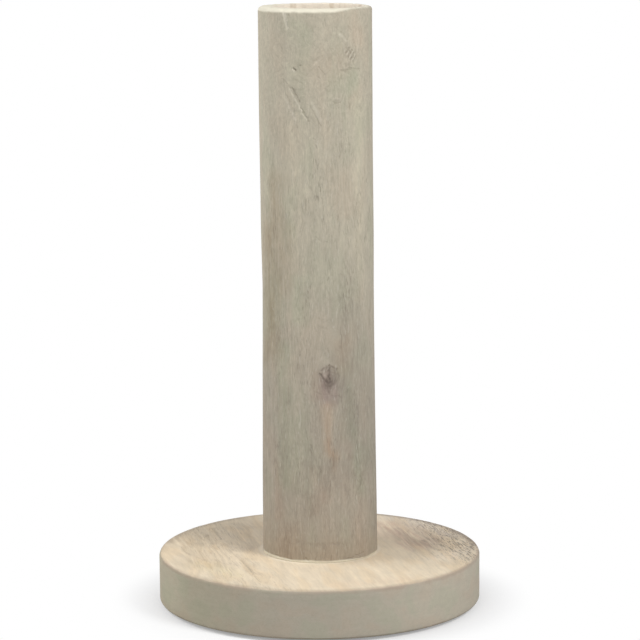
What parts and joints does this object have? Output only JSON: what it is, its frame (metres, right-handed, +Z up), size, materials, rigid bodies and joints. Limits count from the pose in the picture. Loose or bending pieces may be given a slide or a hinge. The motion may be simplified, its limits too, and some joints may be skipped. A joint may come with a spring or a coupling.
{
  "type": "pricket candle stand",
  "caption": "Turned wooden candle stand: a thick round post on a round disc base, with an open candle cup at the top and a steel pricket inside it.",
  "frame": {"origin": "on the table plane under the felt pads, on the axis of the base", "axes": "+Z up along the post, +X towards the narrow side of the cup's wall, +Y away from the picture's viewer"},
  "size_m": [0.144, 0.144, 0.2665],
  "materials": {
    "whitewashed_base": "flat-sawn board, greyed whitewash rubbed into open pores, matt",
    "whitewashed_post": "turned along the grain, greyed whitewash over faint figure, one small knot, matt",
    "beech": "plain beech dowel, unfinished",
    "pricket_steel": "turned and pressed steel, dulled",
    "zinc_steel": "bright zinc plating",
    "felt": "dark brown wool felt"
  },
  "bodies": {
    "root": {"base_disc": "whitewashed_base", "post": "whitewashed_post", "post_screw": "zinc_steel", "screw_washer": "zinc_steel", "dowel_left": "beech", "dowel_right": "beech", "drip_plate": "pricket_steel", "pricket": "pricket_steel", "felt_pad_1": "felt", "felt_pad_2": "felt", "felt_pad_3": "felt", "felt_pad_4": "felt"}
  },
  "joints": []
}
